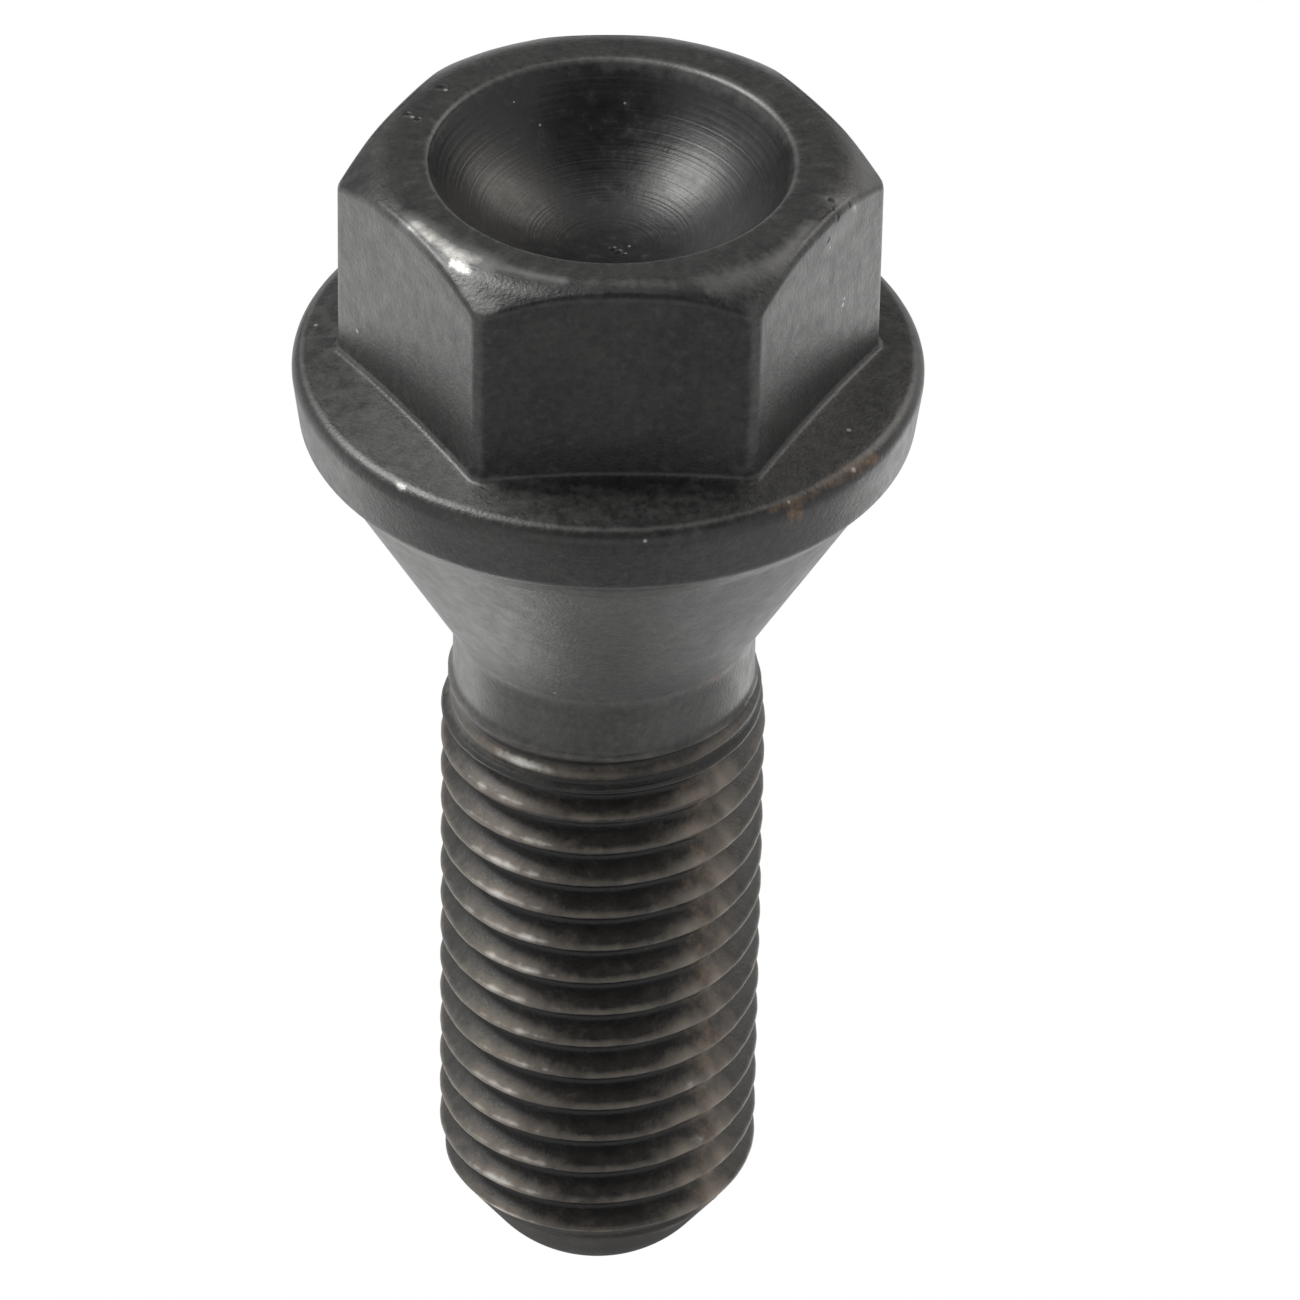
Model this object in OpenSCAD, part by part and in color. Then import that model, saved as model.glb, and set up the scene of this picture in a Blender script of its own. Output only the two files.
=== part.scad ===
// Wheel bolt with a dished hexagon head, a flange and a conical seat.
// One forging, turned and thread-rolled: it is a single solid.
// It stands on the rim of its head, with the thread pointing up along +Z.
// The origin is the centre of that rim, and two flats of the hexagon face along Y.

/* [Head] */
// Width of the hexagon across its flats
hex_af = 17; // [15.5:0.1:18]
// Diameter that the corners of the hexagon are trimmed to
corner_d = 19.4; // [18.8:0.1:20.5]
// Diameter where the flat rim and the chamfer would meet with no rounding
crown_d = 16.6; // [15.6:0.1:17]
// Slope of the chamfer over the hexagon's corners
crown_angle = 38; // [25:1:45]
// Rounding between the flat rim and the chamfer
crown_round = 2; // [0.2:0.1:2.4]
// Height from the rim of the head to the upper edge of the flange
head_h = 8.35; // [7:0.05:12]

/* [Dish] */
// Diameter of the spherical dish at the rim
dish_d = 13.1; // [8:0.1:14]
// Depth of the dish
dish_depth = 3.9; // [1:0.1:4.5]
// Width of the small chamfer round the dish
dish_lip = 0.15; // [0.05:0.05:0.4]

/* [Flange] */
// Diameter of the flange at its upper edge
flange_d = 22.9; // [21.9:0.1:26]
// Thickness of the flange at its edge
flange_t = 2.5; // [2:0.1:5]
// Slope of the flange's face, which falls away from the hexagon
flange_slope = 11; // [5:1:15]
// Diameter of the flange at its lower edge
flange_low_d = 22.3; // [21.4:0.1:23]
// Rounding of the flange's upper edge
flange_round = 0.6; // [0.2:0.1:0.8]
// Rounding of the flange's lower edge
flange_low_round = 0.4; // [0.2:0.1:0.8]

/* [Conical seat] */
// Large diameter of the cone
cone_d = 20.4; // [18:0.1:21]
// Included angle of the cone
cone_angle = 60; // [50:1:75]
// Slope of the flange's underside, down to the cone
underside_angle = 45; // [35:1:60]
// Rounding in the corner between the underside and the cone
underside_round = 1.5; // [0.3:0.1:2]

/* [Shank] */
// Diameter of the plain neck
neck_d = 11.3; // [10.9:0.1:11.8]
// Length of the plain neck
neck_l = 2.3; // [1.5:0.1:8]
// Rounding between the cone and the neck
neck_round = 1.2; // [0.3:0.1:2]
// Diameter over the crests of the thread
thread_d = 12; // [12:0.1:14]
// Length over which the neck grows to the thread
runout_l = 0.5; // [0.3:0.1:1.5]
// Whole length of the bolt
bolt_l = 48.6; // [38:0.1:70]

/* [Tip] */
// Diameter where the tapered tip and its end would meet with no rounding
tip_d = 5.8; // [5:0.1:8]
// Slope of the tip's side from the axis
tip_angle = 35; // [25:1:45]
// Rounding of the end of the tip
tip_round = 4.4; // [1:0.1:4.4]
// Rounding where the thread turns into the tip
shoulder_round = 1; // [0.2:0.1:2]

/* [Hidden] */
$fn = 96;
black_oxide = "#3a3b3e";
// Turn between two neighbouring points on a rounded corner, in degrees
arc_step = 12;
// Overlap that keeps cutting shapes clear of the faces they cut
cut = 1;

dish_r = (pow(dish_d / 2, 2) + pow(dish_depth, 2)) / (2 * dish_depth);
crown_h = (corner_d - crown_d) / 2 * tan(crown_angle);
flange_apex_z = head_h - flange_d / 2 * tan(flange_slope);
flange_low_z = head_h + flange_t;
cone_z = flange_low_z + (flange_low_d - cone_d) / 2 / tan(underside_angle);
neck_z = cone_z + (cone_d - neck_d) / 2 / tan(cone_angle / 2);
thread_z = neck_z + neck_l;
tip_z = bolt_l - (thread_d - tip_d) / 2 / tan(tip_angle);

// Direction of a vector
function unit(v) = v / norm(v);

// A vector turned by an angle
function turned(v, angle) = [
    v.x * cos(angle) - v.y * sin(angle),
    v.x * sin(angle) + v.y * cos(angle)
];

// Share of an edge that the rounding at one end may use, with the other end at p
function edge_share(p) = p[2] > 0 ? 0.5 : 0.98;

// Points that round the corner b, between its neighbours a and c.
// Each point is [radius, height, rounding], and a rounding is limited by its edges.
function round_corner(a, b, c) =
    b[2] == 0 ? [[b.x, b.y]] :
    let (
        corner = [b.x, b.y],
        to_a = [a.x, a.y] - corner,
        to_c = [c.x, c.y] - corner,
        half = acos(unit(to_a) * unit(to_c)) / 2,
        room = min(edge_share(a) * norm(to_a), edge_share(c) * norm(to_c)),
        r = min(b[2], room * tan(half)),
        centre = corner + unit(unit(to_a) + unit(to_c)) * r / sin(half),
        start = corner + unit(to_a) * r / tan(half) - centre,
        side = cross(-to_a, to_c) > 0 ? 1 : -1,
        turn = side * (180 - 2 * half),
        steps = max(2, ceil(abs(turn) / arc_step))
    )
    [for (i = [0 : steps]) centre + turned(start, turn * i / steps)];

// Closed outline with every corner rounded
function round_outline(points) = [
    for (i = [0 : len(points) - 1])
        each round_corner(
            points[(i + len(points) - 1) % len(points)],
            points[i],
            points[(i + 1) % len(points)]
        )
];

// Solid that a half outline makes when it is turned round the bolt's axis
module turned_solid(points) {
    rotate_extrude()
        polygon(round_outline(points));
}

// Hexagon with a chamfered, rounded crown and trimmed corners
module hexagon() {
    // The hexagon ends inside the flange, below the face it stands on
    buried_z = head_h + flange_t / 2;
    intersection() {
        cylinder(h = buried_z, d = hex_af / cos(30), $fn = 6);
        turned_solid([
            [0, 0, 0],
            [crown_d / 2, 0, crown_round],
            [corner_d / 2, crown_h, 0],
            [corner_d / 2, buried_z, 0],
            [0, buried_z, 0]
        ]);
    }
}

// Spherical dish in the end of the head, with its small chamfer
module dish() {
    translate([0, 0, dish_depth - dish_r])
        sphere(r = dish_r);
    translate([0, 0, -cut])
        cylinder(h = cut + dish_lip, r1 = dish_d / 2 + cut + dish_lip, r2 = dish_d / 2);
}

// Flange, conical seat, neck, thread at its full diameter, and tip
module shank() {
    turned_solid([
        [0, flange_apex_z, 0],
        [flange_d / 2, head_h, flange_round],
        [flange_low_d / 2, flange_low_z, flange_low_round],
        [cone_d / 2, cone_z, underside_round],
        [neck_d / 2, neck_z, neck_round],
        [neck_d / 2, thread_z, 0],
        [thread_d / 2, thread_z + runout_l, 0],
        [thread_d / 2, tip_z, shoulder_round],
        [tip_d / 2, bolt_l, tip_round],
        [0, bolt_l, 0]
    ]);
}

module wheel_bolt() {
    color(black_oxide)
        difference() {
            union() {
                hexagon();
                shank();
            }
            dish();
        }
}

wheel_bolt();
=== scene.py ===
import math

import bmesh
import bpy
import numpy as np
from mathutils import Matrix, Vector


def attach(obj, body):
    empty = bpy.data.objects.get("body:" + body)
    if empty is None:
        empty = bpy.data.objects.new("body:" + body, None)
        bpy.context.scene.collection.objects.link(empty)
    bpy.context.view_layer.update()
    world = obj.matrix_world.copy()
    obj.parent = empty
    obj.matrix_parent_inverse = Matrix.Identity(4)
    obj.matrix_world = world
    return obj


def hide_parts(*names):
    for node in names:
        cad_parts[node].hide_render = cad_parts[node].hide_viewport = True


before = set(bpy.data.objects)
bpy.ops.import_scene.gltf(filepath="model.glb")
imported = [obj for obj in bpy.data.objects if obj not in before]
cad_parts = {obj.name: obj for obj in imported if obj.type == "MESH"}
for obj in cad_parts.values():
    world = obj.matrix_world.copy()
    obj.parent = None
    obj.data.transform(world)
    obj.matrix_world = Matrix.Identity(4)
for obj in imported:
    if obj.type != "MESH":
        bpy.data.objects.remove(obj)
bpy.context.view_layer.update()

# The bolt is one steel forging. Its head is cold-formed with a dish, a hexagon and a flange,
# and its conical seat and neck are turned. It stands on the rim of its head, as in the CAD
# model, so heights are measured from that rim. Radii and heights here are in millimetres.
MM = 0.001
FULL_TURN = 2 * math.pi
SIXTH = math.pi / 3
COLUMNS = 240
DISH_HALF = 6.55
DISH_DEPTH = 3.9
DISH_FIRST = 0.12
DISH_RINGS = 26
LIP_INSET = 0.07
LIP_ROUND = 0.3
CROWN_HALF = 8.3
CROWN_SLOPE = math.radians(38)
CROWN_ROUND = 2.0
CROWN_START = CROWN_HALF - CROWN_ROUND * math.tan(CROWN_SLOPE / 2)
HEX_HALF = 8.5
HEX_CORNER = 9.7
HEX_EDGE_ROUND = 0.42
# Difference of two radii under which the one blends into the other
BLEND = 0.16
FLANGE_HALF = 11.45
FLANGE_Z = 8.35
FLANGE_SLOPE = math.radians(11)
FLANGE_FILLET = 0.28
NECK_HALF = 5.55
NECK_END = 21.55
# Each corner below the flange's face: radius, height, rounding, number of steps in the
# rounding, and number of points before it
SHANK = [
    (FLANGE_HALF, FLANGE_Z, 0.6, 6, 6),
    (11.13, 10.79, 0.5, 5, 3),
    (10.26, 11.74, 1.5, 5, 1),
    (NECK_HALF, 19.95, 1.1, 5, 9),
]
# Share by which the columns are drawn together at the hexagon's corners. They spread out
# again over some rings of the conical seat, and the last rings of the neck are even.
GATHERED = 0.62
SPREADING_RINGS = 18
EVEN_RINGS = 8


def corner_arc(before, corner, after, radius, steps):
    """Points that round one corner of an outline."""
    corner = np.array(corner, float)
    back = np.array(before, float) - corner
    on = np.array(after, float) - corner
    back /= np.linalg.norm(back)
    on /= np.linalg.norm(on)
    half = math.acos(float(np.clip(back @ on, -1, 1))) / 2
    reach = radius / math.tan(half)
    start = corner + back * reach
    end = corner + on * reach
    middle = corner + (back + on) / np.linalg.norm(back + on) * radius / math.sin(half)
    first = math.atan2(*(start - middle)[::-1])
    turn = math.atan2(*(end - middle)[::-1]) - first
    turn = (turn + math.pi) % FULL_TURN - math.pi
    angles = first + turn * np.linspace(0, 1, steps + 1)
    return [tuple(middle + radius * np.array([math.cos(a), math.sin(a)])) for a in angles]


def between(start, end, count):
    """Points between two points, without the end points."""
    share = np.linspace(0, 1, count + 2)[1:-1, None]
    return [tuple(p) for p in np.array(start) + (np.array(end) - np.array(start)) * share]


def smaller(first, second):
    """The smaller of two radii, blended where they are nearly the same."""
    share = np.clip(0.5 + (second - first) / BLEND, 0, 1)
    return first * share + second * (1 - share) - BLEND / 4 * share * (1 - share)


def hexagon_radius(angle):
    """Radius of the hexagon's side, with flats along Y and trimmed corners along X."""
    from_flat = (angle + SIXTH) % SIXTH - SIXTH / 2
    return smaller(HEX_HALF / math.cos(from_flat), HEX_CORNER)


def crown(radius):
    """Height and slope of the rounded crown at a radius."""
    sine = (radius - CROWN_START) / CROWN_ROUND
    if sine < math.sin(CROWN_SLOPE):
        return CROWN_ROUND * (1 - math.sqrt(1 - sine ** 2)), math.asin(sine)
    return (radius - CROWN_HALF) * math.tan(CROWN_SLOPE), CROWN_SLOPE


def flange_face(radius):
    """Height of the flange's face under the hexagon."""
    return FLANGE_Z - (FLANGE_HALF - radius) * math.tan(FLANGE_SLOPE)


def dish_outline():
    """Outline of the spherical dish and its rounded lip, from near the axis to the rim."""
    ball = (DISH_HALF ** 2 + DISH_DEPTH ** 2) / (2 * DISH_DEPTH)
    radii = np.linspace(DISH_FIRST, DISH_HALF - LIP_INSET, DISH_RINGS + 1)
    points = [(r, DISH_DEPTH - ball + math.sqrt(ball ** 2 - r ** 2)) for r in radii]
    last = points.pop()
    # The wall runs straight on from its last two points to the level of the rim
    wall = np.array(last) - np.array(points[-1])
    meet = (last[0] - wall[0] / wall[1] * last[1], 0.0)
    return points + corner_arc(points[-1], meet, (CROWN_HALF, 0.0), LIP_ROUND, 5)


def hexagon_outline(side):
    """Outline of the crown, the hexagon's side and the fillet at its foot."""
    edge_z, slope = crown(side)
    reach = HEX_EDGE_ROUND * math.tan((math.pi / 2 - slope) / 2)
    radii = np.linspace(CROWN_START, side - reach * math.cos(slope), 12)[:-1]
    points = [(r, crown(r)[0]) for r in radii]
    before = (side - math.cos(slope), edge_z - math.sin(slope))
    points += corner_arc(before, (side, edge_z), (side, edge_z + 1), HEX_EDGE_ROUND, 5)
    foot = (side, flange_face(side))
    out_on_face = (side + 1, flange_face(side + 1))
    fillet = corner_arc((side, 0), foot, out_on_face, FLANGE_FILLET, 6)
    return points + between(points[-1], fillet[0], 9) + fillet


def outline_at(angle):
    """Outline of the forging at one angle, from the dish's centre to the end of the neck."""
    side = hexagon_radius(angle)
    points = dish_outline()
    points += between(points[-1], (CROWN_START, 0.0), 3)
    points += hexagon_outline(side)
    corners = [(side + 1, flange_face(side + 1))] + [c[:2] for c in SHANK]
    corners.append((NECK_HALF, NECK_END))
    for i, (r, z, rounding, steps, points_before) in enumerate(SHANK):
        arc = corner_arc(corners[i], (r, z), corners[i + 2], rounding, steps)
        points += between(points[-1], arc[0], points_before)
        points += arc
    points += between(points[-1], (NECK_HALF, NECK_END), 4)
    points.append((NECK_HALF, NECK_END))
    return points


def turn_rings(name, outline):
    """Closed end and a row of rings, extruded along an outline in millimetres."""
    bpy.ops.object.select_all(action="DESELECT")
    bpy.ops.mesh.primitive_circle_add(
        vertices=COLUMNS, radius=outline[0][0] * MM, fill_type="TRIFAN"
    )
    piece = bpy.context.object
    piece.name = name
    bpy.ops.object.mode_set(mode="EDIT")
    bpy.ops.mesh.select_mode(type="EDGE")
    bpy.ops.transform.translate(value=(0, 0, outline[0][1] * MM))
    bpy.ops.mesh.region_to_loop()
    for (r0, z0), (r1, z1) in zip(outline, outline[1:]):
        bpy.ops.mesh.extrude_edges_move(
            TRANSFORM_OT_translate={"value": (0, 0, (z1 - z0) * MM)}
        )
        bpy.ops.transform.resize(
            value=(r1 / r0, r1 / r0, 1), center_override=(0, 0, z1 * MM)
        )
    bpy.ops.object.mode_set(mode="OBJECT")
    return piece


def read_points(piece):
    """All points of a mesh, in millimetres."""
    flat = np.zeros(len(piece.data.vertices) * 3)
    piece.data.vertices.foreach_get("co", flat)
    return flat.reshape(-1, 3) / MM


def write_points(piece, points):
    """Moves all points of a mesh, given in millimetres."""
    piece.data.vertices.foreach_set("co", (points * MM).ravel())
    piece.data.update()


# The rings are turned at the hexagon's flats, and each point then goes to its own outline
forging = turn_rings("forging", outline_at(SIXTH / 2))
points = read_points(forging)
ring = np.maximum(0, (np.arange(len(points)) - 1) // COLUMNS)
plain_angle = np.arctan2(points[:, 1], points[:, 0])
column = np.round(plain_angle / FULL_TURN * COLUMNS).astype(int) % COLUMNS
even = np.arange(COLUMNS) / COLUMNS * FULL_TURN
gathered = even - GATHERED / 6 * np.sin(6 * even)
by_column = np.array([outline_at(a) for a in gathered])
ring_count = by_column.shape[1]
still_gathered = (ring_count - EVEN_RINGS - np.arange(ring_count)) / SPREADING_RINGS
still_gathered = np.clip(still_gathered, 0, 1)
at_centre = np.hypot(points[:, 0], points[:, 1]) < 0.01
angle = even[column] + (gathered - even)[column] * still_gathered[ring]
radius = np.where(at_centre, 0.0, by_column[column, ring, 0])
points[:, 0] = radius * np.cos(angle)
points[:, 1] = radius * np.sin(angle)
points[:, 2] = np.where(at_centre, DISH_DEPTH, by_column[column, ring, 1])
write_points(forging, points)

# The thread is rolled into the shank after the turning: a right-hand metric thread of
# 1.5 mm pitch, with rounded crests and roots. It fades into the neck behind a low bead and a
# low ridge, and the dome of the tip cuts its last turns down.
PITCH = 1.5
CREST = 6.0
ROOT = 5.08
CREST_AT = 25.2217
THREAD_START = 21.9
THREAD_END = 46.4
TURNS = 18
PROFILE_STEPS = 14
# Reach of the two flanks from the crest, and softness of the crest
HEAD_FLANK = 0.72
TIP_FLANK = 0.6
CREST_SOFTNESS = 0.035
BEAD_Z = 22.36
RIDGE_Z = 23.08
RIDGE_TILT = 0.22
TIP_Z = 48.6
SHOULDER = (CREST, 44.173)
SHOULDER_ROUND = 1.0
TIP_CORNER = (2.9, TIP_Z)
TIP_ROUND = 4.4


def hump(values, middle, half_width):
    """Smooth hump that is 1 at its middle and falls to 0 on both sides."""
    return np.exp(-(((values - middle) / half_width) ** 2))


def tooth(share):
    """Height of the thread's profile, from 0 at the root to 1 at the crest.
    The flank that faces the head, where share is under 0, rounds off more widely."""
    off = ((share + 0.5) % 1.0 - 0.5) * PITCH
    climb = np.clip(1 - np.abs(off) / np.where(off < 0, HEAD_FLANK, TIP_FLANK), 0, 1)
    top = 1 - np.sqrt((1 - climb) ** 2 + CREST_SOFTNESS) + math.sqrt(CREST_SOFTNESS)
    return np.clip(top, 0, 1) ** 0.9


def wander(turns, seed):
    """Slow, uneven change from about -1 to 1 along the thread, by the turn in radians."""
    starts = np.random.default_rng(seed).uniform(0, FULL_TURN, 5)
    waves = zip((3.1, 7.7, 13.3, 23.9, 41.3), starts)
    return sum(np.sin(rate * turns + start) for rate, start in waves) / 2.6


def ridge_height(angle):
    """Height of the low ridge, which lies at a slight tilt round the neck."""
    return RIDGE_Z + RIDGE_TILT * np.cos(angle)


dome = corner_arc((CREST, THREAD_START), SHOULDER, TIP_CORNER, SHOULDER_ROUND, 6)
dome += corner_arc(SHOULDER, TIP_CORNER, (0, TIP_Z), TIP_ROUND, 24)
dome.append((0.1, TIP_Z))
dome_radii, dome_heights = np.array([(CREST, THREAD_START)] + dome).T


def thread_radius(angle, height):
    """Radius of the threaded shank and its dome at an angle and a height."""
    # The first turn starts late, and the thread grows out of the neck over the next
    late = 0.35 * np.exp(-np.maximum(height - 23.4, 0) / 1.1)
    share = (height - late - CREST_AT) / PITCH - angle / FULL_TURN
    grown = np.clip((height - 22.3) / 1.9, 0, 1)
    crest = NECK_HALF + (CREST - NECK_HALF) * (1 - (1 - grown) ** 2)
    sunk = np.clip((height - 22.4) / 2.4, 0, 1)
    root = NECK_HALF + (ROOT - NECK_HALF) * sunk * sunk * (3 - 2 * sunk)
    # One side is rubbed: its roots are filled a little, and a few crests are knocked down
    rubbed_and_highlit = hump(angle + 0.011 * (height - 34), -2.27, 0.17)
    knocked = hump(angle, -2.16, 0.2) * hump(height, 39.6, 1.7)
    turns = np.round(share) * FULL_TURN + angle
    root += 0.3 * rubbed_and_highlit * sunk
    crest -= (0.012 + 0.012 * wander(turns, 5) + 0.1 * knocked) * grown
    radius = root + (crest - root) * tooth(share)
    # The bead, and the ridge with a shallow groove on each side
    ridge_z = ridge_height(angle)
    radius += 0.17 * hump(height, BEAD_Z, 0.13)
    radius += 0.16 * hump(height, ridge_z, 0.16)
    radius -= 0.1 * hump(height, ridge_z - 0.38, 0.13)
    radius -= 0.1 * hump(height, ridge_z + 0.36, 0.13)
    return smaller(radius, np.interp(height, dome_heights, dome_radii))


bpy.ops.object.select_all(action="DESELECT")
bpy.ops.mesh.primitive_plane_add(size=MM)
thread = bpy.context.object
thread.name = "thread"
bpy.ops.object.mode_set(mode="EDIT")
bpy.ops.mesh.select_mode(type="VERT")
bpy.ops.mesh.select_all(action="SELECT")
bpy.ops.mesh.merge(type="CENTER")
bpy.ops.mesh.select_all(action="SELECT")
first_z = CREST_AT - 3.5 * PITCH
bpy.ops.transform.translate(value=(ROOT * MM, 0, first_z * MM))
profile = ROOT + (CREST - ROOT) * tooth(np.linspace(0, 1, PROFILE_STEPS + 1) + 0.5)
for step in np.diff(profile):
    bpy.ops.mesh.extrude_vertices_move(
        TRANSFORM_OT_translate={"value": (step * MM, 0, PITCH / PROFILE_STEPS * MM)}
    )
bpy.ops.object.mode_set(mode="OBJECT")
screw = thread.modifiers.new("rolled_turns", "SCREW")
screw.axis = "Z"
screw.angle = FULL_TURN
screw.screw_offset = PITCH * MM
screw.iterations = TURNS
screw.steps = COLUMNS
screw.render_steps = COLUMNS
bpy.ops.object.modifier_apply(modifier=screw.name)
bpy.ops.object.mode_set(mode="EDIT")
bpy.ops.mesh.select_all(action="SELECT")
bpy.ops.mesh.remove_doubles(threshold=0.002 * MM)
for level, side in ((THREAD_START, 1), (THREAD_END, -1)):
    bpy.ops.mesh.select_all(action="SELECT")
    bpy.ops.mesh.bisect(
        plane_co=(0, 0, level * MM), plane_no=(0, 0, side), clear_inner=True
    )
# The cuts leave a few points between the columns, which the bridge has no partners for
bpy.ops.mesh.select_all(action="DESELECT")
skin = bmesh.from_edit_mesh(thread.data)
for vert in skin.verts:
    columns_round = math.atan2(vert.co.y, vert.co.x) / FULL_TURN * COLUMNS
    vert.select_set(vert.is_boundary and abs(columns_round - round(columns_round)) > 0.01)
bmesh.update_edit_mesh(thread.data)
bpy.ops.mesh.dissolve_verts()
# Points that lie very near a cut are merged into it
for level in (THREAD_START, THREAD_END):
    bpy.ops.mesh.select_all(action="DESELECT")
    skin = bmesh.from_edit_mesh(thread.data)
    for vert in skin.verts:
        vert.select_set(abs(vert.co.z / MM - level) < 0.06)
    bmesh.update_edit_mesh(thread.data)
    bpy.ops.mesh.remove_doubles(threshold=0.04 * MM)
bpy.ops.object.mode_set(mode="OBJECT")
points = read_points(thread)
angle = np.arctan2(points[:, 1], points[:, 0])
radius = thread_radius(angle, points[:, 2])
points[:, 0] = radius * np.cos(angle)
points[:, 1] = radius * np.sin(angle)
write_points(thread, points)

# The tip is the domed end of the shank. It is turned like the head, from its middle up to
# the thread, and the three parts of the skin are bridged into one closed piece.
tip = turn_rings("tip", [p for p in dome[::-1] if p[1] > THREAD_END + 0.04])

bpy.ops.object.select_all(action="DESELECT")
for part in (tip, thread, forging):
    part.select_set(True)
bpy.context.view_layer.objects.active = forging
bpy.ops.object.join()
bolt = forging
bolt.name = "forged_wheel_bolt"
bolt.data.name = "forged_wheel_bolt"
bpy.ops.object.mode_set(mode="EDIT")
bpy.ops.mesh.select_mode(type="EDGE")
for level in (THREAD_START, THREAD_END):
    bpy.ops.mesh.select_all(action="DESELECT")
    skin = bmesh.from_edit_mesh(bolt.data)
    for edge in skin.edges:
        middle = (edge.verts[0].co.z + edge.verts[1].co.z) / 2 / MM
        edge.select_set(edge.is_boundary and abs(middle - level) < 0.4)
    bmesh.update_edit_mesh(bolt.data)
    bpy.ops.mesh.bridge_edge_loops()
bpy.ops.mesh.select_all(action="SELECT")
bpy.ops.mesh.normals_make_consistent(inside=False)
bpy.ops.object.mode_set(mode="OBJECT")
bpy.ops.object.shade_smooth_by_angle(angle=math.radians(80))

# The finish is a thin black oxide. Handling has rubbed it grey along some edges and worn it
# through to bright steel in places, and light rust lies on the thread. The same grey and bright
# steel also make painted highlights, and near black makes painted shade, with some dirt on the
# head. Each line of wear, painted highlight or painted shade is given by its course over the
# bolt: points, half width and strength.
RUBBED_AND_HIGHLIT_LINES = [
    ([(8.9, -1.5, 0.5), (7.9, -2.8, 0.12), (7.1, -3.95, 0.07)], 0.26, 0.18),
    ([(7.17, -3.86, 0.07), (5.79, -5.6, 0.06), (4.41, -6.6, 0.03)], 0.34, 1.0),
    ([(4.41, -6.6, 0.02), (3.02, -7.3, 0.01), (1.9, -7.65, 0.02)], 0.14, 0.8),
    ([(1.9, -7.65, 0.02), (0.2, -7.85, 0.02), (-2.0, -7.8, 0.04)], 0.15, 0.2),
    ([(-3.4, -7.7, 0.2), (-4.5, -7.2, 0.2), (-5.6, -6.4, 0.2)], 0.36, 0.42),
    ([(-5.6, -6.4, 0.2), (-6.3, -5.3, 0.15), (-6.9, -4.3, 0.1)], 0.25, 0.5),
    ([(5.2, -7.3, 0.5), (4.85, -7.9, 0.7), (4.4, -8.1, 0.8)], 0.22, 0.5),
    ([(4.1, -7.6, 0.3), (3.4, -7.9, 0.35), (2.9, -8.0, 0.35)], 0.2, 0.14),
    ([(-7.65, -2.61, 0.06), (-8.37, -2.46, 0.37), (-8.6, -2.1, 0.62)], 0.25, 0.6),
    ([(-7.7, -3.7, 0.9), (-8.1, -3.0, 1.2), (-8.5, -2.2, 1.0)], 0.3, 0.45),
    ([(-9.15, 0.4, 0.75), (-9.05, -1.0, 0.7)], 0.3, 0.3),
]
WORN_AND_HIGHLIT_LINES = [
    ([(7.0, -4.1, 0.08), (6.3, -5.0, 0.08), (5.6, -5.8, 0.08), (4.9, -6.3, 0.05)], 0.22, 0.82),
    ([(5.6, -6.3, 0.2), (5.2, -6.7, 0.25)], 0.2, 0.75),
    ([(7.4, -8.36, 8.37), (7.66, -8.12, 8.37)], 0.13, 0.9),
    ([(-7.9, -3.4, 0.8), (-8.6, -2.1, 0.62)], 0.08, 0.62),
    ([(-3.27, -4.95, 38.08), (-3.34, -4.7, 38.6)], 0.2, 0.5),
    ([(-2.6, -5.3, 40.2), (-3.71, -4.59, 41.01)], 0.2, 0.5),
]
RUST_LINES = [
    ([(-5.43, -9.69, 8.33), (-6.37, -9.2, 8.39), (-8.39, -7.36, 8.36)], 0.2, 0.52),
    ([(-8.39, -7.36, 8.36), (-9.33, -6.36, 8.51)], 0.24, 0.65),
    ([(-6.22, -9.52, 8.72), (-6.5, -9.35, 8.8)], 0.16, 0.8),
    ([(-4.3, -3.5, 19.9), (-3.4, -4.3, 19.95)], 0.16, 0.6),
    ([(-3.5, -4.8, 24.5), (-4.0, -4.4, 34.0), (-4.3, -4.1, 45.0)], 0.7, 0.42),
]
DIRT_AND_SHADE_LINES = [
    ([(9.1, 0.9, 0.7), (9.05, 0.0, 0.65), (8.9, -0.8, 0.6)], 0.4, 0.6),
    ([(-4.2, -8.3, 0.8), (-2.2, -8.22, 0.26), (0.0, -8.2, 0.12)], 0.17, 0.75),
    ([(0.0, -8.2, 0.12), (2.2, -8.22, 0.26), (4.2, -8.3, 0.8)], 0.17, 0.85),
    ([(5.5, -6.4, 0.15), (5.0, -7.1, 0.3), (4.6, -7.7, 0.5)], 0.09, 0.9),
    ([(4.2, -7.1, 0.1), (3.2, -7.6, 0.15), (2.2, -7.9, 0.15)], 0.2, 0.6),
    ([(-7.5, -3.0, 0.1), (-7.9, -3.3, 0.4)], 0.12, 0.8),
]


def along(lines):
    """Strength of a set of lines at every point of the bolt."""
    total = np.zeros(len(points))
    for course, half_width, strength in lines:
        for start, end in zip(np.array(course[:-1]), np.array(course[1:])):
            run = end - start
            share = np.clip((points - start) @ run / (run @ run), 0, 1)
            off = np.linalg.norm(points - start - share[:, None] * run, axis=1)
            total = np.maximum(total, strength * np.exp(-0.5 * (off / half_width) ** 2))
    return total


def rise(values, low_end, high_end):
    """Smooth step from 0 at the low end to 1 at the high end."""
    share = np.clip((values - low_end) / (high_end - low_end), 0, 1)
    return share * share * (3 - 2 * share)


def fall(values, low_end, high_end):
    """Smooth step from 1 at the low end to 0 at the high end."""
    return rise(-values, -high_end, -low_end)


def facing(degrees, half_width):
    """Nearness of each point's angle to one angle, where 0 is the left side, -90 the front
    and 180 the right side. The half width is in radians."""
    off = (angle - math.radians(degrees) + math.pi) % FULL_TURN - math.pi
    return hump(off, 0, half_width)


def strongest(*layers):
    """The strongest of several layers of wear or dirt at every point."""
    return np.maximum.reduce(layers)


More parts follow.
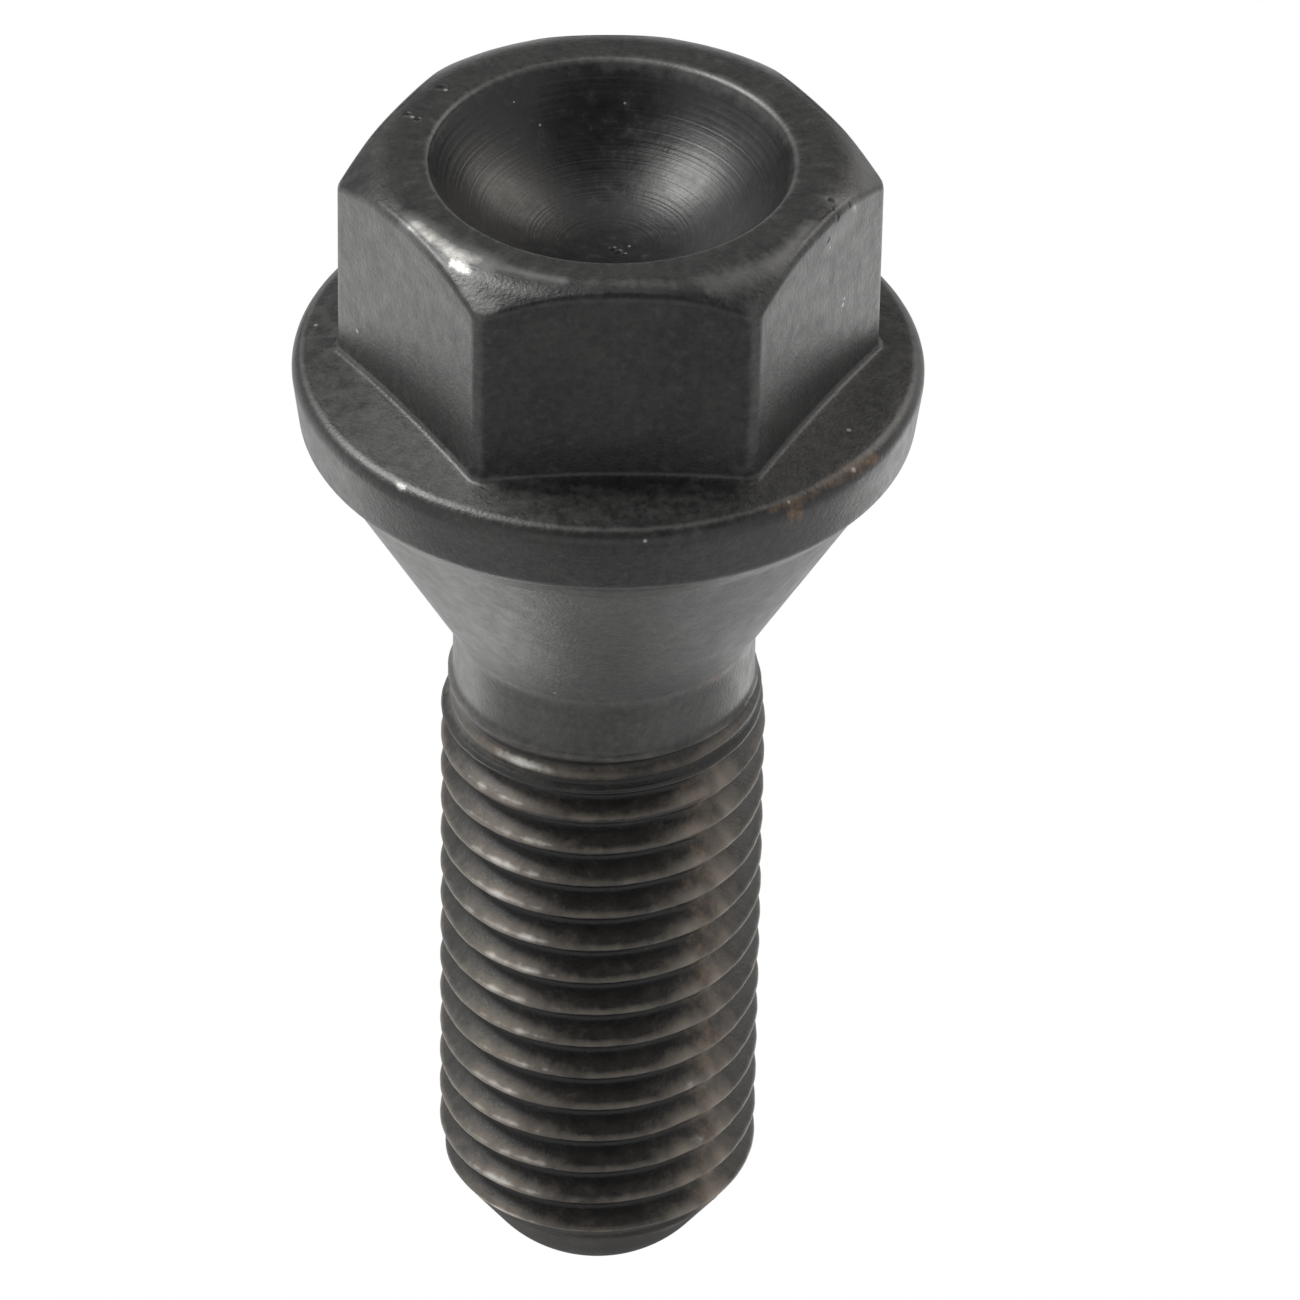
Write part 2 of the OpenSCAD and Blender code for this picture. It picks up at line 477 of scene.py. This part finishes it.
points = read_points(bolt)
radius = np.hypot(points[:, 0], points[:, 1])
height = points[:, 2]
angle = np.arctan2(points[:, 1], points[:, 0])

# Places on the head, the seat and the neck. The lip, the flange's edge, the flange's face
# (most on the left), the hexagon's corners, the front of the seat and the left of the neck
# are lightened as painted highlights, the corners also as real rub. The rounding under the
# flange's edge and the foot of the hexagon's front face are darkened as painted shade.
front = facing(-88, 0.75)
back_right = facing(125, 0.8)
lip_width = 0.12 + 0.08 * front + 0.03 * back_right
lip = hump(radius, DISH_HALF + 0.03 - 0.2 * front, lip_width) * (height < 0.5)
flange_edge = hump(radius, 11.04, 0.07) * hump(height, 8.3, 0.15)
under_edge = hump(radius, 11.27, 0.12) * hump(height, 8.47, 0.16)
face = (radius > 9.0) * (height > 7.7) * fall(radius, 10.7, 11.1) * fall(height, 8.5, 8.9)
from_corner = ((angle / SIXTH + 0.5) % 1 - 0.5) * SIXTH
hex_corner = hump(from_corner, 0, 0.032) * (radius > 9.0) * (height < 7.6)
front_foot = rise(height, 5.4, 7.6) * (height < 8.0) * (radius < 9.9) * facing(-88, 0.6)
front_seat = rise(height, 10.8, 11.05) * fall(height, 11.5, 12.0) * facing(-88, 0.6)
left_neck = (height > 19.9) * (height < 22.0) * facing(-24, 0.24)

# Places on the thread. The distance from the nearest crest is measured along the bolt, and is
# under 0 on the side towards the head. The crest lines, the bright line on the crests' left,
# the flanks towards the head on the two lit sides, the bead and the ridge are lightened as
# painted highlights and sheen, the crests also as real rub. The roots, the flanks towards the
# tip and the grooves beside the ridge are darkened as painted shade. The rubbed side is real
# rub.
crests_on = (height - CREST_AT) / PITCH - angle / FULL_TURN
off_crest = ((crests_on + 0.5) % 1 - 0.5) * PITCH
uneven = 0.5 + 0.5 * wander(np.round(crests_on) * FULL_TURN + angle, 8)
full_turns = rise(height, 23.3, 24.0) * fall(height, 46.2, 46.6) * rise(radius, 4.9, 5.3)
crest_line = full_turns * hump(off_crest, -0.045, 0.058)
bright_line = full_turns * hump(off_crest, -0.1, 0.11) * facing(-52, 0.38)
head_flank = full_turns * rise(off_crest, -0.66, -0.04) ** 1.5 * fall(off_crest, -0.02, 0.1)
tip_flank = full_turns * rise(off_crest, 0.03, 0.16) * fall(off_crest, 0.45, 0.8)
sheen_sides = strongest(facing(-50, 0.36), 0.8 * facing(-123, 0.17))
rubbed_side = (0.5 * full_turns + 0.5 * head_flank) * facing(-138, 0.16)
bead = hump(height, BEAD_Z - 0.03, 0.07)
off_ridge = height - ridge_height(angle)
ridge = hump(off_ridge, -0.06, 0.17)
ridge_sides = 0.15 + 0.6 * facing(-54, 0.4) + 0.4 * facing(-139, 0.25)
roots = fall(radius, 5.25, 5.75) * rise(height, 22.8, 24.0) * (height < 44.5)
filled_roots = facing(-136, 0.2)

# Bright bare steel: real wear in places, and painted highlights on the crown's front chamfer, on
# the crests' left side and on the ridge's left side
worn_and_highlit = strongest(
    along(WORN_AND_HIGHLIT_LINES),
    bright_line * (0.25 + 0.75 * uneven),
    0.95 * ridge * facing(-56, 0.22),
)
# Light grey or brown: real rub on the thread's rubbed side and on some edges, and painted
# highlights and sheen on the lip, the flange's edge and face, the seat, the neck, the crests,
# the bead and the ridge
rubbed_and_highlit = strongest(
    along(RUBBED_AND_HIGHLIT_LINES),
    lip * (0.2 + 0.44 * back_right),
    0.4 * flange_edge,
    0.16 * hex_corner,
    face * (0.09 + 0.17 * facing(-38, 0.5)),
    0.2 * front_seat,
    0.24 * left_neck,
    crest_line * (0.45 + 0.4 * uneven),
    head_flank * sheen_sides * (0.8 + 0.4 * uneven),
    1.1 * rubbed_side * (0.35 + 0.65 * uneven),
    0.35 * bead,
    ridge * ridge_sides,
)
# Near black: painted shade in the thread's roots, on the flanks towards the tip, in the grooves
# by the ridge, under the flange's edge and at the foot of the front face, and painted shade with
# some dirt along the listed lines
shade_and_dirt = strongest(
    roots * (1 - 0.8 * filled_roots),
    0.85 * tip_flank * (1 - 0.8 * filled_roots),
    hump(np.abs(off_ridge), 0.37, 0.14),
    0.45 * under_edge,
    0.6 * front_foot,
    along(DIRT_AND_SHADE_LINES),
)
LAYERS = {
    "worn_and_highlit": worn_and_highlit,
    "rubbed_and_highlit": rubbed_and_highlit,
    "rust": along(RUST_LINES),
    "shade_and_dirt": shade_and_dirt,
    "threaded": rise(height, 22.1, 22.7) * fall(height, 46.3, 47.0),
    "dished": (radius < DISH_HALF - 0.05) * (height < 4.5) * 1.0,
    "machined": rise(height, 10.6, 11.2) * fall(height, 21.9, 23.0),
}
for name, value in LAYERS.items():
    attribute = bolt.data.attributes.new(name, "FLOAT", "POINT")
    attribute.data.foreach_set("value", value.astype(np.float32))

# Each finish that varies has its darkest and its palest colour
OXIDE = ((0.021, 0.021, 0.0215), (0.049, 0.048, 0.046))
TURNED_OXIDE = ((0.055, 0.055, 0.054), (0.095, 0.094, 0.09))
STAINED_OXIDE = ((0.018, 0.0155, 0.0135), (0.042, 0.035, 0.029))
RUST = ((0.1, 0.062, 0.038), (0.3, 0.18, 0.1))
# Near black for the dish: painted shade
DISH_BLACK = (0.006, 0.006, 0.0065)
# Near black for dirt and for painted shade
DIRT_AND_SHADE = (0.005, 0.005, 0.006)
# Near black for the pits: painted shade
PIT_BLACK = (0.004, 0.004, 0.004)
# Light grey and brown for rub and for painted highlights
RUBBED_AND_HIGHLIT_GREY = (0.2, 0.2, 0.195)
RUBBED_AND_HIGHLIT_BROWN = (0.3, 0.255, 0.21)
# Bright steel for wear and for painted glints
BARE_STEEL_AND_GLINT = (0.55, 0.54, 0.51)
# Small marks, each given by its place and radius: pits, and flecks of bare steel
PITS = [
    (5.97, 4.71, 0.0, 0.25), (7.2, 2.95, 0.0, 0.2), (6.85, 2.6, 0.0, 0.19),
    (-0.1, 0.1, 3.89, 0.16), (-0.3, -0.1, 3.89, 0.17), (-0.5, -0.3, 3.87, 0.13),
    (-7.65, -2.61, 0.06, 0.2), (-7.91, -3.3, 0.36, 0.17), (-8.37, -2.46, 0.37, 0.15),
    (-7.54, -3.94, 0.86, 0.14), (-7.7, -3.1, 0.2, 0.12), (3.6, -5.2, 22.9, 0.12),
]
FLECKS = [
    (5.8, 4.52, 0.0, 0.1), (7.02, 2.76, 0.0, 0.11), (-0.66, 5.61, 1.3, 0.06),
    (2.41, 4.74, 1.66, 0.06), (3.35, 5.0, 0.84, 0.05), (-0.7, 0.2, 3.86, 0.07),
    (-8.21, -2.78, 4.42, 0.13), (-8.25, -2.7, 4.2, 0.09), (9.03, -1.36, 6.41, 0.11),
    (10.5, 1.64, 8.19, 0.1), (-8.4, -5.32, 8.06, 0.12), (-0.99, -11.29, 8.59, 0.09),
    (1.94, -5.45, 19.45, 0.1), (0.8, -6.4, 18.1, 0.08), (0.9, -6.3, 18.25, 0.07),
    (-6.1, -9.3, 8.36, 0.09), (-8.5, -7.3, 8.38, 0.14), (-7.6, -3.75, 1.3, 0.1),
]

finish = bpy.data.materials.new("black_oxide_steel")
finish.use_nodes = True
nodes, links = finish.node_tree.nodes, finish.node_tree.links
shader = nodes["Principled BSDF"]


def add(kind, inputs, **settings):
    """A node among the nodes in hand. Each input is a plain value or another node's output."""
    made = nodes.new("ShaderNode" + kind)
    for name, value in settings.items():
        setattr(made, name, value)
    for name, value in inputs.items():
        if isinstance(value, bpy.types.NodeSocket):
            links.new(value, made.inputs[name])
        else:
            made.inputs[name].default_value = value
    return made.outputs


def maths(operation, first, second=0.0):
    """One sum on values."""
    return add("Math", {0: first, 1: second}, operation=operation)[0]


def spread(value, low_end, high_end, start=0.0, end=1.0):
    """A value moved from one range to another."""
    ends = {"Value": value, "From Min": low_end, "From Max": high_end}
    return add("MapRange", {**ends, "To Min": start, "To Max": end})["Result"]


place = add("TexCoord", {})["Object"]


def noise(scale, detail, roughness):
    """Cloudy noise over the bolt, with its scale in patches to the metre."""
    values = {"Vector": place, "Scale": scale, "Detail": detail, "Roughness": roughness}
    return add("TexNoise", values)["Fac"]


def layer(name):
    """One of the bolt's own attributes."""
    return add("Attribute", {}, attribute_name=name)["Fac"]


def blend(share, *ends):
    """Colour between two colours, each a plain one or another node's output."""
    ends = [e if isinstance(e, bpy.types.NodeSocket) else (*e, 1) for e in ends]
    return add("Mix", {"Factor": share, "A": ends[0], "B": ends[1]}, data_type="RGBA")["Result"]


def dots(marks):
    """Strength of small round marks, each given by its place and radius."""
    nearest = 9.0
    for x, y, z, half_width in marks:
        off = add("VectorMath", {0: place, 1: (x * MM, y * MM, z * MM)}, operation="DISTANCE")
        nearest = maths("MINIMUM", nearest, maths("DIVIDE", off["Value"], half_width * MM))
    return spread(nearest, 0.4, 1.0, 1.0, 0.0)


pits = dots(PITS)
flecks = dots(FLECKS)
clouds = noise(420.0, 2.0, 0.6)
mottle = noise(1500.0, 3.0, 0.62)
grain = noise(7000.0, 1.0, 0.6)
speckle = noise(3100.0, 2.0, 0.7)

# Wear, painted highlights and rust break up over the grain, so their edges are ragged
ragged = maths("ADD", maths("MULTIPLY", mottle, 0.7), maths("MULTIPLY", speckle, 0.5))
ragged = maths("SUBTRACT", ragged, 0.6)
bare_and_glint = spread(maths("ADD", layer("worn_and_highlit"), ragged), 0.3, 0.9)
bare_and_glint = maths("MAXIMUM", bare_and_glint, maths("MULTIPLY", flecks, 0.6))
rusty = spread(maths("ADD", layer("rust"), ragged), 0.2, 0.9)
rubbed_and_highlit = spread(maths("ADD", layer("rubbed_and_highlit"), maths("MULTIPLY", ragged, 0.6)), 0.05, 1.0)
threaded = layer("threaded")
dished = layer("dished")

tone = maths("ADD", maths("MULTIPLY", clouds, 0.35), maths("MULTIPLY", speckle, 0.65))
tone = spread(tone, 0.35, 0.65)
colour = blend(layer("machined"), blend(tone, *OXIDE), blend(tone, *TURNED_OXIDE))
# The dish is painted near black: painted shade in it
colour = blend(maths("MULTIPLY", dished, 0.75), colour, DISH_BLACK)
stained = blend(spread(mottle, 0.3, 0.7), *STAINED_OXIDE)
colour = blend(maths("MULTIPLY", threaded, 0.85), colour, stained)
# Painted shade and dirt, in near black
colour = blend(maths("MULTIPLY", layer("shade_and_dirt"), 0.9), colour, DIRT_AND_SHADE)
brown = blend(spread(speckle, 0.35, 0.65), *RUST)
colour = blend(maths("MULTIPLY", rusty, 0.85), colour, brown)
# Rub and painted highlights, in light grey or brown
colour = blend(rubbed_and_highlit, colour, blend(threaded, RUBBED_AND_HIGHLIT_GREY, RUBBED_AND_HIGHLIT_BROWN))
# The pits are painted near black: painted shade in them
colour = blend(maths("MULTIPLY", pits, 0.9), colour, PIT_BLACK)
# Bare steel and painted glints
colour = blend(bare_and_glint, colour, BARE_STEEL_AND_GLINT)
links.new(colour, shader.inputs["Base Color"])
links.new(maths("MULTIPLY", bare_and_glint, 0.5), shader.inputs["Metallic"])
shader.inputs["Specular IOR Level"].default_value = 0.36

rough = maths("ADD", spread(mottle, 0.3, 0.7, 0.31, 0.43), maths("MULTIPLY", threaded, 0.06))
rough = maths("SUBTRACT", rough, maths("MULTIPLY", dished, 0.02))
rough = maths("ADD", rough, maths("MULTIPLY", rusty, 0.12))
links.new(rough, shader.inputs["Roughness"])

# The tool leaves fine rings in the dish, and the forged faces have a fine grain
split = add("SeparateXYZ", {"Vector": place})
across = add("CombineXYZ", {"X": split["X"], "Y": split["Y"]})["Vector"]
out = add("VectorMath", {0: across}, operation="LENGTH")["Value"]
rings = add("TexNoise", {"W": out, "Scale": 9000.0, "Detail": 2.0}, noise_dimensions="1D")["Fac"]
ring_depth = maths("MULTIPLY", dished, spread(out, 0.0008, 0.0035, 0.4, 1.9))
rings = maths("MULTIPLY", maths("SUBTRACT", rings, 0.5), ring_depth)
smoothed = maths("MAXIMUM", dished, rubbed_and_highlit)
relief = maths("ADD", maths("MULTIPLY", grain, 2.6), maths("MULTIPLY", mottle, 2.8))
relief = maths("MULTIPLY", relief, spread(smoothed, 0.0, 1.0, 0.85, 0.3))
relief = maths("ADD", relief, rings)
relief = maths("SUBTRACT", relief, maths("MULTIPLY", pits, 6.0))
bump = add("Bump", {"Height": relief, "Strength": 1.0, "Distance": 0.000006})["Normal"]
links.new(bump, shader.inputs["Normal"])
bolt.data.materials.clear()
bolt.data.materials.append(finish)
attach(bolt, "root")
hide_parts("wheel_bolt")

# The floor is a plain pale sheet that the bolt stands on, and it fades out towards its edge.
# Its top shows and takes the shadow. From below, where the photograph's camera is, it is
# clear. It neither shades the bolt nor throws light back on it.
FLOOR_RADIUS = 0.6
FLOOR_GAP = 0.0001
bpy.ops.object.select_all(action="DESELECT")
bpy.ops.mesh.primitive_circle_add(vertices=96, radius=FLOOR_RADIUS, fill_type="TRIFAN")
floor = bpy.context.object
floor.name = "floor"
bpy.ops.object.mode_set(mode="EDIT")
bpy.ops.transform.translate(value=(0, 0, -FLOOR_GAP))
bpy.ops.object.mode_set(mode="OBJECT")
pale = bpy.data.materials.new("pale_floor")
pale.use_nodes = True
nodes, links = pale.node_tree.nodes, pale.node_tree.links
nodes.remove(nodes["Principled BSDF"])
sheet = add("BsdfDiffuse", {"Color": (0.86, 0.86, 0.86, 1)})["BSDF"]
clear = add("BsdfTransparent", {})["BSDF"]
from_camera = add("LightPath", {})["Is Camera Ray"]
from_below = add("NewGeometry", {})["Backfacing"]
ends = {0: from_camera, 1: from_below}
from_above = add("Math", ends, operation="SUBTRACT", use_clamp=True)[0]
out = add("VectorMath", {0: add("TexCoord", {})["Object"]}, operation="LENGTH")["Value"]
ends = {"Value": out, "From Min": 0.1, "From Max": 0.5, "To Min": 1.0, "To Max": 0.0}
near = add("MapRange", ends, interpolation_type="SMOOTHSTEP")["Result"]
shown = maths("MULTIPLY", from_above, near)
mix = add("MixShader", {"Fac": shown, 1: clear, 2: sheet})["Shader"]
links.new(mix, nodes["Material Output"].inputs["Surface"])
floor.data.materials.append(pale)
floor.visible_diffuse = False
floor.visible_glossy = False
floor.visible_shadow = False

# Cards stand out of view for the bolt to reflect, and show in reflections only: a black one
# over the dish, grey ones behind the head's rim and at the camera's side, and a small grey one
# over the tip that is a painted shadow: the tip reflects it in place of its own shadow next to
# the tip. Each has its place, radius and brightness.
CARDS = {
    "black_card": ((0.0, -0.139, -0.299), 0.26, 0.006),
    "back_card": ((0.0, 0.36, -0.235), 0.2, 0.2),
    "back_left_card": ((0.235, 0.345, -0.086), 0.12, 0.12),
    "back_right_card": ((-0.18, 0.352, -0.172), 0.09, 0.03),
    "front_card": ((0.0, -0.3, 0.21), 0.17, 0.48),
    "tip_shadow_card": ((0.0, 0.001, 0.053), 0.008, 0.22),
}
for name, (middle, card_radius, brightness) in CARDS.items():
    bpy.ops.object.select_all(action="DESELECT")
    bpy.ops.mesh.primitive_circle_add(vertices=64, radius=card_radius, fill_type="TRIFAN")
    card = bpy.context.object
    card.name = name
    tilt = Vector(middle).to_track_quat("Z", "Y").to_matrix().to_4x4()
    card.data.transform(Matrix.Translation(middle) @ tilt)
    card.visible_camera = False
    card.visible_shadow = False
    card.visible_diffuse = False
    board = bpy.data.materials.new(name)
    board.use_nodes = True
    nodes, links = board.node_tree.nodes, board.node_tree.links
    nodes.remove(nodes["Principled BSDF"])
    glow = add("Emission", {"Color": (brightness, brightness, brightness, 1)})["Emission"]
    links.new(glow, nodes["Material Output"].inputs["Surface"])
    card.data.materials.append(board)

# Soft round lamps stand about a point in the bolt. Each has its direction from that point,
# its distance, size, power and colour. The two that are named for the dish only make the
# highlights in it: they give no diffuse light.
LAMPS = {
    "side_left": ((0.73, 0.38, 0.56), 0.6, 0.35, 0.42, (1, 1, 0.98)),
    "low_left": ((0.9, 0.3, 0.1), 0.6, 0.3, 0.25, (1, 1, 0.98)),
    "side_right": ((-0.67, 0.48, 0.56), 0.6, 0.35, 0.37, (1, 1, 0.98)),
    "tip_left": ((0.35, 0.2, 0.9), 0.6, 0.3, 0.25, (1, 1, 0.98)),
    "dish_left": ((-0.66, 0.5, -0.6), 0.5, 0.28, 0.6, (1, 0.92, 0.83)),
    "dish_right": ((0.55, 0.22, -0.8), 0.5, 0.26, 2.4, (1, 1, 0.98)),
    "fill": ((0.55, 0.22, -0.8), 0.5, 0.26, 1.1, (1, 1, 0.98)),
}
LIT_POINT = Vector((0, 0, 0.02))
for name, (direction, distance, size, power, colour) in LAMPS.items():
    light = bpy.data.lights.new(name, "AREA")
    light.shape = "DISK"
    light.size = size
    light.energy = power
    light.color = colour
    lamp = bpy.data.objects.new(name, light)
    bpy.context.scene.collection.objects.link(lamp)
    out = Vector(direction).normalized()
    lamp.location = LIT_POINT + out * distance
    lamp.rotation_mode = "QUATERNION"
    lamp.rotation_quaternion = out.to_track_quat("Z", "Y")
    lamp.visible_camera = False
    lamp.visible_diffuse = "dish" not in name

# The room is white where the camera or a reflection sees it. It lights the bolt at half that
# strength.
world = bpy.data.worlds.new("studio")
bpy.context.scene.world = world
world.use_nodes = True
nodes, links = world.node_tree.nodes, world.node_tree.links
white = nodes["Background"]
white.inputs["Color"].default_value = (1, 1, 1, 1)
path = add("LightPath", {})
seen = maths("MAXIMUM", path["Is Camera Ray"], path["Is Glossy Ray"])
seen = maths("MAXIMUM", seen, path["Is Transmission Ray"])
links.new(spread(seen, 0.0, 1.0, 0.5, 1.0), white.inputs["Strength"])
bpy.context.scene.view_settings.view_transform = "Standard"

# The camera keeps the photograph's view of the bolt: 36.73 degrees off the plane of the
# head's rim, on the dished side, so here it looks up from under the floor. The point that it
# aims at lies off the picture's centre, by a distance given in the photograph's pixels.
AIM = Vector((0, 0, 0.026))
ELEVATION = math.radians(36.73)
TURN = math.radians(2)
ROLL = math.radians(0.84)
DISTANCE = 0.3684
PHOTO_WIDTH = 1300
AIM_LEFT = 47.4
AIM_BELOW = 96.7
back = Vector(
    (
        math.sin(TURN) * math.cos(ELEVATION),
        -math.cos(TURN) * math.cos(ELEVATION),
        -math.sin(ELEVATION),
    )
)
right = Vector((-math.cos(TURN), -math.sin(TURN), 0))
up = back.cross(right)
eye = bpy.data.cameras.new("camera")
eye.sensor_width = 36
eye.lens = 275.85
eye.clip_start = 0.01
eye.clip_end = 20
focal_pixels = eye.lens / eye.sensor_width * PHOTO_WIDTH
camera = bpy.data.objects.new("camera", eye)
bpy.context.scene.collection.objects.link(camera)
look = Matrix((right, up, back)).transposed().to_4x4()
look @= Matrix.Rotation(ROLL, 4, "Z")
look @= Matrix.Rotation(math.atan(AIM_BELOW / focal_pixels), 4, "X")
look @= Matrix.Rotation(-math.atan(AIM_LEFT / focal_pixels), 4, "Y")
camera.matrix_world = Matrix.Translation(AIM + back * DISTANCE) @ look
bpy.context.scene.camera = camera
